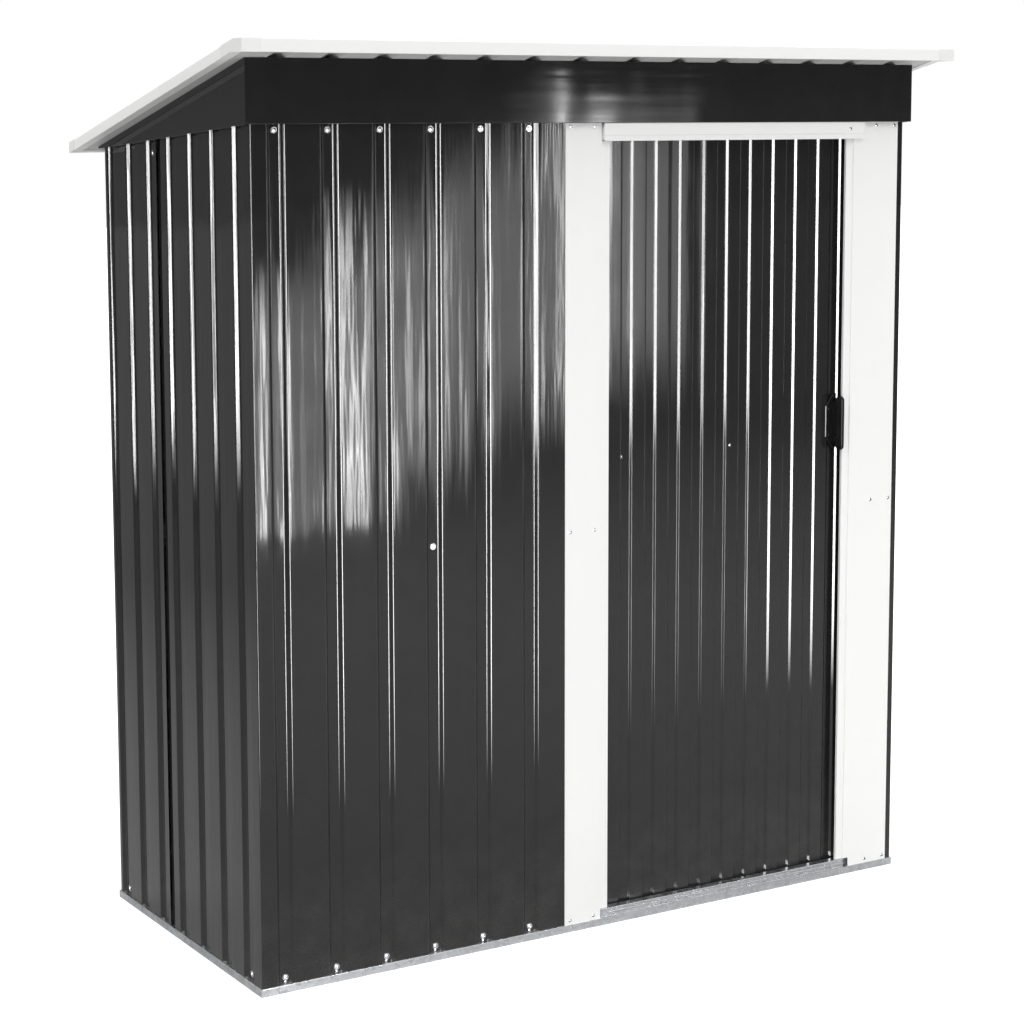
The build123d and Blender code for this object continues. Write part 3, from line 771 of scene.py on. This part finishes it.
@dataclass
class Door:
    """The door's sheet, handle and rollers."""

    wave: float = 0.22 * MM
    bend: float = 0.9 * MM
    frame_heights: tuple[float, ...] = (0.04, 1.01, 1.65)

    def build(self, finishes: Finishes) -> None:
        """Builds the door."""
        low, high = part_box("door_sheet")
        FormedSheet(
            "door_sheet", Finish.DOOR, Facing.DOOR, self.bend, wave=self.wave,
            holds=(
                *(Hold(2, z, 0.02, 0.2) for z in self.frame_heights),
                Hold(0, low.x, 0.034, 0.05), Hold(0, high.x, 0.07, 0.05),
            ),
        ).build(finishes)
        finishes.dress(("handle_plate", "handle_grip"), Finish.HANDLE)
        finishes.dress(("door_rollers",), Finish.ROLLER)


# ---- fixings


@dataclass(frozen=True)
class Screw:
    """The sizes of one kind of screw, in metres."""

    name: str
    washer_radius: float
    washer_thickness: float
    head_radius: float
    head_height: float
    recess_width: float
    finish: Finish = Finish.PLATED
    washer_finish: Finish = Finish.PLATED


class ScrewKind(Enum):
    """The kinds of screw on the shed."""

    WASHERED = Screw("washered_screw", 6.4 * MM, 1.2 * MM, 4.2 * MM, 2.6 * MM, 1.1 * MM)
    # the pan screws' head and washer carry the painted dark reflection of the small-screw zinc
    PAN = Screw("pan_screw", 3.6 * MM, 0.4 * MM, 3.3 * MM, 2.0 * MM, 0.9 * MM, Finish.PAINTED_DARK_SCREW_ZINC, Finish.PAINTED_DARK_SCREW_ZINC)
    ROOFING = Screw("roofing_screw", 7.5 * MM, 2.0 * MM, 4.4 * MM, 3.0 * MM, 1.2 * MM, Finish.PLATED, Finish.RUBBER)
    DARK = Screw("handle_screw", 3.2 * MM, 0.3 * MM, 3.0 * MM, 1.6 * MM, 0.8 * MM, Finish.HANDLE, Finish.HANDLE)


@dataclass(frozen=True)
class Place:
    """Where a screw is driven: a point outside the sheet and the way towards it."""

    x: float
    y: float
    z: float
    way: tuple[float, float, float]


class ScrewTree:
    """The geometry nodes that put one screw at each point."""

    sizes: tuple[str, ...] = ("Washer Radius", "Washer Thickness", "Head Radius", "Head Height", "Recess Width")
    finishes: tuple[str, ...] = ("Head Finish", "Washer Finish")
    turn_step: float = 37.0
    quarter: float = 90.0
    degrees: float = 57.3
    sharp: float = math.radians(35.0)
    recess_reach: float = 1.15
    washer_sides: int = 20
    dome_segments: int = 14
    dome_rings: int = 7

    def __init__(self) -> None:
        """Builds the tree once."""
        self.group = self._make()

    def _make(self) -> bpy.types.NodeTree:
        """Makes the tree.

        Returns:
            The node group, with named inputs for the screw's sizes and finishes.
        """
        t = open_group(
            "screws_on_points",
            "GeometryNodeTree",
            [
                Socket("Points", "Geometry"),
                *(Socket(name, "Float", MM) for name in ScrewTree.sizes),
                *(Socket(name, "Material") for name in ScrewTree.finishes),
            ],
            [Socket("Screws", "Geometry")],
        )
        given = t.add("NodeGroupInput").outputs
        half = t.math("MULTIPLY", given["Washer Thickness"], 0.5)
        ring = t.add(
            "GeometryNodeMeshCylinder",
            {"Vertices": self.washer_sides, "Radius": given["Washer Radius"], "Depth": given["Washer Thickness"]},
        ).outputs["Mesh"]
        washer = t.add("GeometryNodeTransform", {"Geometry": ring, "Translation": t.vector(z=half)}).outputs[0]
        washer = t.add("GeometryNodeSetMaterial", {"Geometry": washer, "Material": given["Washer Finish"]}).outputs[0]
        ball = t.add(
            "GeometryNodeMeshUVSphere", {"Segments": self.dome_segments, "Rings": self.dome_rings, "Radius": 1.0}
        ).outputs["Mesh"]
        size = t.vector(given["Head Radius"], given["Head Radius"], given["Head Height"])
        seat = t.vector(z=given["Washer Thickness"])
        dome = t.add("GeometryNodeTransform", {"Geometry": ball, "Translation": seat, "Scale": size}).outputs[0]
        above = t.vector(z=t.math("ADD", given["Washer Thickness"], given["Head Height"]))
        length = t.math("MULTIPLY", given["Head Radius"], self.recess_reach)
        cutter = t.add("GeometryNodeMeshBoolean", {"Mesh 1": dome}, operation="DIFFERENCE")
        for x, y in ((length, given["Recess Width"]), (given["Recess Width"], length)):
            box = t.vector(x, y, given["Head Height"])
            bar = t.add("GeometryNodeMeshCube", {"Size": box}).outputs["Mesh"]
            placed = t.add("GeometryNodeTransform", {"Geometry": bar, "Translation": above}).outputs[0]
            t.tree.links.new(placed, cutter.inputs["Mesh 2"])
        head = t.add(
            "GeometryNodeSetMaterial", {"Geometry": cutter.outputs["Mesh"], "Material": given["Head Finish"]}
        ).outputs[0]
        screw = t.add("GeometryNodeJoinGeometry")
        for part in (head, washer):
            t.tree.links.new(part, screw.inputs[0])
        facing = t.add("GeometryNodeInputNamedAttribute", {"Name": "facing"}, data_type="FLOAT_VECTOR").outputs[0]
        turn = t.add("GeometryNodeInputNamedAttribute", {"Name": "turn"}, data_type="FLOAT").outputs[0]
        spin = t.add("FunctionNodeEulerToRotation", {0: t.vector(z=turn)})
        aimed = t.add("FunctionNodeAlignRotationToVector", {"Vector": facing}, axis="Z").outputs[0]
        turned = t.add(
            "FunctionNodeRotateRotation", {"Rotation": aimed, "Rotate By": spin.outputs[0]}, rotation_space="LOCAL"
        ).outputs[0]
        placed = t.add(
            "GeometryNodeInstanceOnPoints",
            {"Points": given["Points"], "Instance": screw.outputs[0], "Rotation": turned},
        ).outputs[0]
        real = t.add("GeometryNodeRealizeInstances", {"Geometry": placed}).outputs[0]
        t.add("NodeGroupOutput", {"Screws": real})
        return t.tree

    def drive(self, name: str, kind: ScrewKind, spots: Sequence[tuple[Vector, Vector]], finishes: Finishes) -> Any:
        """Makes the screws of one kind on one body.

        Args:
            name: the piece's name.
            kind: the kind of screw.
            spots: where each screw is seated, and the way that its head faces.
            finishes: the materials.

        Returns:
            The piece, a plain mesh.
        """
        screw = kind.value
        points = bpy.data.meshes.new(f"{name}_points")
        points.from_pydata([tuple(place) for place, _ in spots], [], [])
        facing = points.attributes.new("facing", "FLOAT_VECTOR", "POINT")
        facing.data.foreach_set("vector", [value for _, way in spots for value in way])
        turn = points.attributes.new("turn", "FLOAT", "POINT")
        turns = [(self.turn_step * number) % self.quarter / self.degrees for number in range(len(spots))]
        turn.data.foreach_set("value", turns)
        holder = new_object(f"{name}_points", points)
        modifier = holder.modifiers.new("screws", "NODES")
        modifier.node_group = self.group
        sizes = (
            screw.washer_radius, screw.washer_thickness, screw.head_radius, screw.head_height, screw.recess_width
        )
        coats = (finishes.get(screw.finish), finishes.get(screw.washer_finish))
        values = dict(zip((*self.sizes, *self.finishes), (*sizes, *coats)))
        for item in self.group.interface.items_tree:
            if item.in_out == "INPUT" and item.name in values:
                modifier[item.identifier] = values[item.name]
        graph = bpy.context.evaluated_depsgraph_get()
        mesh = bpy.data.meshes.new_from_object(holder.evaluated_get(graph))
        mesh.name = name
        bpy.data.objects.remove(holder)
        piece = new_object(name, mesh)
        mesh.shade_smooth()
        mesh.set_sharp_from_angle(angle=self.sharp)
        log.info("%s: %d screws, %d faces", name, len(spots), len(mesh.polygons))
        return piece


@dataclass
class Fixings:
    """Every screw on the shed, seated on the sheet that carries it."""

    into_front: tuple[float, float, float] = (0.0, 1.0, 0.0)
    into_rear: tuple[float, float, float] = (0.0, -1.0, 0.0)
    down: tuple[float, float, float] = (0.0, 0.0, -1.0)
    stand_off: float = 0.05
    first_front_valley: float = -0.7445
    front_pitch: float = 0.11365
    front_valleys: int = 6
    foot: float = 0.0285
    second_foot: float = 0.0195
    top: float = 1.689
    middle: float = 0.858
    middle_valley: int = 3
    side_valleys: tuple[float, ...] = (-0.277, -0.1733, -0.0696, 0.0341, 0.1378, 0.2415, 0.3452)
    side_top_drop: float = 0.024
    side_eaves: float = 1.7
    side_foot_valleys: tuple[int, ...] = (0, 6)
    side_top_valleys: tuple[int, ...] = (4,)
    rear_valleys: int = 13
    rear_top: float = 1.625
    jamb_left: tuple[float, float] = (-0.0804, -0.0215)
    jamb_right: tuple[float, float] = (0.722, 0.7735)
    jamb_heights: tuple[float, float, float] = (1.692, 0.8575, 0.0255)
    header: tuple[tuple[float, float], ...] = ((0.642, 1.685),)
    door: tuple[tuple[float, float], ...] = ((0.0632, 1.0015), (0.3454, 1.0058))
    handle: tuple[tuple[float, float], ...] = ((0.6158, 1.068), (0.6172, 1.009))
    roof_pan: float = 0.0075
    roof_rows: tuple[float, ...] = (-0.338, 0.03, 0.362)
    hanger_drop: float = 0.012

    def spots(self, nodes: Sequence[str], places: Iterable[Place]) -> list[tuple[Vector, Vector]]:
        """Seats places on the nodes that carry them.

        Args:
            nodes: the CAD nodes that may carry a screw.
            places: where the screws are driven from.

        Returns:
            Each seat, with the way that the head faces.
        """
        trees = []
        for name in nodes:
            mesh = frame["nodes"][name].data
            trees.append(BVHTree.FromPolygons([v.co for v in mesh.vertices], [p.vertices for p in mesh.polygons]))
        found = []
        for place in places:
            way = Vector(place.way)
            begin = Vector((place.x, place.y, place.z)) - way * self.stand_off
            hits = [tree.ray_cast(begin, way, self.stand_off * 3) for tree in trees]
            seats = [(distance, spot) for spot, _, _, distance in hits if spot is not None]
            if seats:
                found.append((min(seats, key=lambda seat: seat[0])[1], -way))
            else:
                log.warning("no sheet under a screw at %s", place)
        return found

    def _front(self) -> list[Place]:
        """Finds the places along the front sheet's valleys.

        Returns:
            Where the screws are driven from.
        """
        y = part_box("front_sheet")[0].y
        valleys = [self.first_front_valley + self.front_pitch * number for number in range(self.front_valleys)]
        rows = [Place(x, y, z, self.into_front) for x in valleys for z in (self.top, self.foot)]
        return [*rows, Place(valleys[self.middle_valley], y, self.middle, self.into_front)]

    def _sides(self) -> list[Place]:
        """Finds the places along the side sheets' valleys.

        Returns:
            Where the screws are driven from.
        """
        places = []
        for side, way in ((-1.0, (1.0, 0.0, 0.0)), (1.0, (-1.0, 0.0, 0.0))):
            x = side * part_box("right_sheet_front")[1].x
            low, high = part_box("fascia_left")
            places += [Place(x, self.side_valleys[number], self.foot, way) for number in self.side_foot_valleys]
            for number in self.side_top_valleys:
                y = self.side_valleys[number]
                eaves = self.side_eaves - (y - low.y) / (high.y - low.y) * (self.side_eaves - low.z)
                places.append(Place(x, y, eaves - self.side_top_drop, way))
        return places

    def _rear(self) -> list[Place]:
        """Finds the places along the rear sheets' valleys.

        Returns:
            Where the screws are driven from.
        """
        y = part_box("rear_sheet_middle")[1].y
        middle = (self.rear_valleys - 1) / 2
        valleys = [self.front_pitch * (number - middle) for number in range(self.rear_valleys)]
        rows = [Place(x, y, z, self.into_rear) for x in valleys for z in (self.rear_top, self.foot)]
        return [*rows, *(Place(x, y, self.middle, self.into_rear) for x in valleys[::3])]

    def _roof(self) -> list[Place]:
        """Finds the places on the roof's pans, beside the ribs.

        Returns:
            Where the screws are driven from.
        """
        columns = [self.roof_pan + self.front_pitch * number for number in range(-7, 8)]
        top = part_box("roof_sheet_right")
        fall = (top[1].z - top[0].z) / (top[1].y - top[0].y)
        return [
            Place(x, y, top[1].z - (y - top[0].y) * fall, self.down)
            for x in columns[::2] for y in self.roof_rows
        ]

    def build(self, finishes: Finishes) -> None:
        """Drives every screw."""
        tree = ScrewTree()
        front, leaf_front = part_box("front_sheet")[0].y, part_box("door_sheet")[0].y
        walls = [name for name in SLOTS if "_sheet" in name and not name.startswith(("door", "roof"))]
        trim = [
            Place(x, front, z, self.into_front)
            for x in (*self.jamb_left, *self.jamb_right) for z in self.jamb_heights
        ]
        trim += [Place(x, front, z, self.into_front) for x, z in self.header]
        small = [Place(p.x, p.y, self.second_foot, p.way) for p in self._front() if p.z == self.foot]
        leaf, grip = (
            [Place(x, leaf_front, z, self.into_front) for x, z in places] for places in (self.door, self.handle)
        )
        wall = [*self._front(), *self._sides(), *self._rear()]
        frames, roof = ["jamb_left", "jamb_right", "header"], ["roof_sheet_left", "roof_sheet_right"]
        work = (
            ("wall_screws", "shed", ScrewKind.WASHERED, walls, wall),
            ("foot_screws", "shed", ScrewKind.PAN, walls, small),
            ("trim_screws", "shed", ScrewKind.PAN, frames, trim),
            ("roof_screws", "shed", ScrewKind.ROOFING, roof, self._roof()),
            ("door_screws", "door", ScrewKind.PAN, ["door_sheet"], leaf),
            ("handle_screws", "door", ScrewKind.DARK, ["handle_plate"], grip),
        )
        for name, body, kind, nodes, places in work:
            piece = tree.drive(name, kind, self.spots(nodes, places), finishes)
            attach(piece, body)


# ---- surroundings


@dataclass(frozen=True)
class Slats:
    """Upright slats before a light, which break it into streaks of uneven height."""

    along: tuple[float, float, float]
    foot: tuple[float, float]
    top: tuple[float, float]
    reach: tuple[float, float]
    pitch: float = 7.0
    ragged: float = 0.22
    fade: float = 0.16
    open_share: float = 0.5
    edge: tuple[float, float] = (0.03, 0.09)
    leak: float = 0.06

    def strength(self, t: Tree) -> Any:
        """Adds the nodes of the pattern.

        Args:
            t: the light's tree.

        Returns:
            How much light passes at each place, from 0 to 1.
        """
        place = t.add("ShaderNodeNewGeometry").outputs["Position"]
        along = t.add("ShaderNodeVectorMath", {0: place, 1: self.along}, operation="DOT_PRODUCT").outputs["Value"]
        height = t.add("ShaderNodeSeparateXYZ", {0: place}).outputs["Z"]
        spot = t.vector(t.math("MULTIPLY", along, self.pitch))
        bars = t.add("ShaderNodeTexNoise", {"Vector": spot, "Scale": 1.0, "Detail": 2.0, "Roughness": 0.6})
        shift = t.math("MULTIPLY", t.math("SUBTRACT", t.noise(spot, 1.7, 1.0), 0.5), self.ragged * 2.0)
        foot = t.math("ADD", t.spread(along, *self.reach, *self.foot), shift)
        top = t.math("SUBTRACT", t.spread(along, *self.reach, *self.top), shift)
        above = t.math("DIVIDE", t.math("SUBTRACT", height, foot), self.fade, clamp=True)
        below = t.math("DIVIDE", t.math("SUBTRACT", top, height), self.fade, clamp=True)
        low, high = self.open_share - self.edge[0], self.open_share + self.edge[1]
        gap = t.spread(bars.outputs["Fac"], low, high, self.leak, 1.0)
        return t.math("MULTIPLY", gap, t.math("MULTIPLY", above, below))


@dataclass(frozen=True)
class Softbox:
    """One soft studio light: a lit rectangle turned to a point."""

    name: str
    place: tuple[float, float, float]
    aim: tuple[float, float, float]
    width: float
    height: float
    radiance: float
    slats: Optional[Slats] = None

    def make(self) -> None:
        """Adds the light, unseen by the camera; one with slats shows only in gloss."""
        data = bpy.data.lights.new(self.name, "AREA")
        data.shape, data.size, data.size_y = "RECTANGLE", self.width, self.height
        data.energy = self.radiance * math.pi * data.size * data.size_y
        if self.slats:
            data.use_nodes = True
            t = Tree(data.node_tree)
            glow = t.add("ShaderNodeEmission", {"Strength": self.slats.strength(t)}).outputs[0]
            t.add("ShaderNodeOutputLight", {"Surface": glow})
        lamp = new_object(self.name, data)
        lamp.location = self.place
        lamp.rotation_euler = (Vector(self.aim) - Vector(self.place)).to_track_quat("-Z", "Y").to_euler()
        lamp.visible_camera = False
        lamp.visible_diffuse = self.slats is None
        lamp.visible_glossy = self.slats is not None


@dataclass
class Studio:
    """The pale floor, the light and the camera."""

    floor_size: float = 60.0
    # painted pool of light on the floor: its colour at the pool's middle, its colour far off, then the middle and the
    # reach of the fall
    painted_pool_bright: float = 0.62
    painted_pool_dim: float = 0.20
    floor_seen: float = 0.95
    floor_mottle: float = 0.02
    painted_pool_middle: tuple[float, float, float] = (1.4, -1.6, 0.0)
    painted_pool_reach: tuple[float, float] = (1.6, 6.5)
    horizon: float = 0.24
    overhead: float = 2.4
    rise: tuple[float, float] = (0.26, 0.70)
    pixels: int = 1024
    sensor: float = 36.0
    focal_pixels: float = 2389.45
    shift_y: float = -0.1
    azimuth: float = -31.6032
    elevation: float = -7.0545
    roll: float = -0.0973
    eye: tuple[float, float, float] = (-2.7416, -4.4316, 1.7183)
    lights: tuple[Softbox, ...] = (
        Softbox(
            "right_window", (2.4, -5.0, 0.95), (2.4, 0.0, 0.95), 2.4, 1.9, 50.0,
            Slats((1.0, 0.0, 0.0), (-0.35, 0.45), (1.1, 1.85), (1.5, 2.9), 6.0, 0.5, 0.3, 0.56),
        ),
        Softbox(
            "front_strip", (-0.75, -1.5, 0.88), (-0.4, 0.0, 0.88), 0.4, 1.9, 60.0,
            Slats((0.0, 1.0, 0.0), (0.0, 0.0), (1.9, 1.9), (-2.0, -1.0), 9.0, 0.1, 0.3, 0.4),
        ),
        Softbox(
            "right_strip", (4.0, -0.9, 0.88), (0.0, -0.4, 0.88), 0.8, 1.74, 10.0,
            Slats((0.0, 1.0, 0.0), (0.1, 0.1), (1.75, 1.75), (-1.5, -0.3), 6.0, 0.2),
        ),
        Softbox(
            "left_front_strip", (-5.6, -4.75, 0.86), (0.3, -0.3, 0.86), 1.3, 1.9, 46.0,
            Slats((0.65, -0.76, 0.0), (0.0, 0.0), (1.85, 1.85), (-1.0, 1.0), 5.0, 0.15, 0.25, 0.44),
        ),
        Softbox(
            "left_strip", (-6.0, -1.5, 1.02), (-0.8, 0.0, 1.02), 1.4, 2.0, 70.0,
            Slats((0.0, 1.0, 0.0), (0.15, 0.15), (1.95, 1.95), (-2.2, -0.8), 8.0, 0.3, 0.3, 0.5),
        ),
        Softbox("front_fill", (0.5, -6.0, 2.5), (0.0, 0.0, 1.0), 4.0, 3.0, 1.0),
        Softbox("left_fill", (-6.0, 0.0, 3.0), (0.0, 0.0, 1.0), 3.0, 3.0, 0.9),
    )

    def floor(self, finishes: Finishes) -> None:
        """Lays the pale floor: evenly pale to the camera, while reflections see a painted pool of light, bright by
        the shed and darker further off.
        """
        half = self.floor_size / 2
        mesh = bpy.data.meshes.new("floor")
        mesh.from_pydata([(-half, -half, 0), (half, -half, 0), (half, half, 0), (-half, half, 0)], [], [(0, 1, 2, 3)])
        material, t, place = open_material("pale_floor")
        mottle = t.noise(place, 0.8, 4.0)
        # painted pool of light: the floor's colour falls from bright near a point by the shed to dark further away
        away = t.add(
            "ShaderNodeVectorMath", {0: place, 1: self.painted_pool_middle}, operation="DISTANCE"
        ).outputs["Value"]
        painted_pool = t.spread(away, *self.painted_pool_reach, self.painted_pool_bright, self.painted_pool_dim)
        pool_and_mottle = t.math("SUBTRACT", painted_pool, t.math("MULTIPLY", mottle, self.floor_mottle))
        # the camera sees an even pale floor; other rays see the painted pool of light with its mottle
        seen = t.add("ShaderNodeLightPath").outputs["Is Camera Ray"]
        shade = t.add("ShaderNodeMix", {"Factor": seen, 2: pool_and_mottle, 3: self.floor_seen}, data_type="FLOAT").outputs[0]
        close_material(t, {"Base Color": t.vector(shade, shade, shade), "Roughness": 0.9, "Specular IOR Level": 0.1})
        mesh.materials.append(material)
        floor = new_object("floor", mesh)

    def sky_light(self) -> None:
        """Sets a surround that is white behind the shed, darker at eye level and bright overhead."""
        world = bpy.data.worlds.new("studio")
        world.use_nodes = True
        t = Tree(world.node_tree)
        height = t.add(
            "ShaderNodeSeparateXYZ", {0: t.add("ShaderNodeTexCoord").outputs["Generated"]}
        ).outputs["Z"]
        glow = t.spread(height, *self.rise, self.horizon, self.overhead)
        around = t.add("ShaderNodeBackground", {"Color": (1.0, 1.0, 1.0, 1.0), "Strength": glow}).outputs[0]
        behind = t.add("ShaderNodeBackground", {"Color": (1.0, 1.0, 1.0, 1.0), "Strength": 1.0}).outputs[0]
        seen = t.add("ShaderNodeLightPath").outputs["Is Camera Ray"]
        mixed = t.add("ShaderNodeMixShader", {0: seen, 1: around, 2: behind}).outputs[0]
        t.add("ShaderNodeOutputWorld", {"Surface": mixed})
        bpy.context.scene.world = world

    def camera(self) -> None:
        """Sets the camera at the photograph's viewing angle."""
        turn, tilt, roll = (math.radians(v) for v in (self.azimuth, self.elevation, self.roll))
        ahead = Vector((-math.sin(turn) * math.cos(tilt), math.cos(turn) * math.cos(tilt), math.sin(tilt)))
        level = ahead.cross(Vector((0, 0, 1))).normalized()
        rise = level.cross(ahead)
        right = math.cos(roll) * level + math.sin(roll) * rise
        up = math.cos(roll) * rise - math.sin(roll) * level
        data = bpy.data.cameras.new("camera")
        data.sensor_width, data.sensor_height = self.sensor, self.sensor
        data.lens = self.focal_pixels * self.sensor / self.pixels
        data.shift_y = self.shift_y
        data.clip_end = 200.0
        camera = new_object("camera", data)
        camera.matrix_world = Matrix((right, up, -ahead)).transposed().to_4x4()
        camera.location = self.eye
        bpy.context.scene.camera = camera

    def make(self, finishes: Finishes) -> None:
        """Builds the surroundings."""
        self.floor(finishes)
        self.sky_light()
        for light in self.lights:
            light.make()
        self.camera()
        bpy.context.scene.view_settings.view_transform = "Standard"


def main() -> None:
    """Dresses the shed and sets the studio."""
    logging.basicConfig(level=logging.INFO, format="%(name)s %(message)s")
    finishes = Finishes()
    Cladding().build(finishes)
    Trim().build(finishes)
    Framework().build(finishes)
    Door().build(finishes)
    Fixings().build(finishes)
    Studio().make(finishes)


if __name__ == "__main__":
    main()
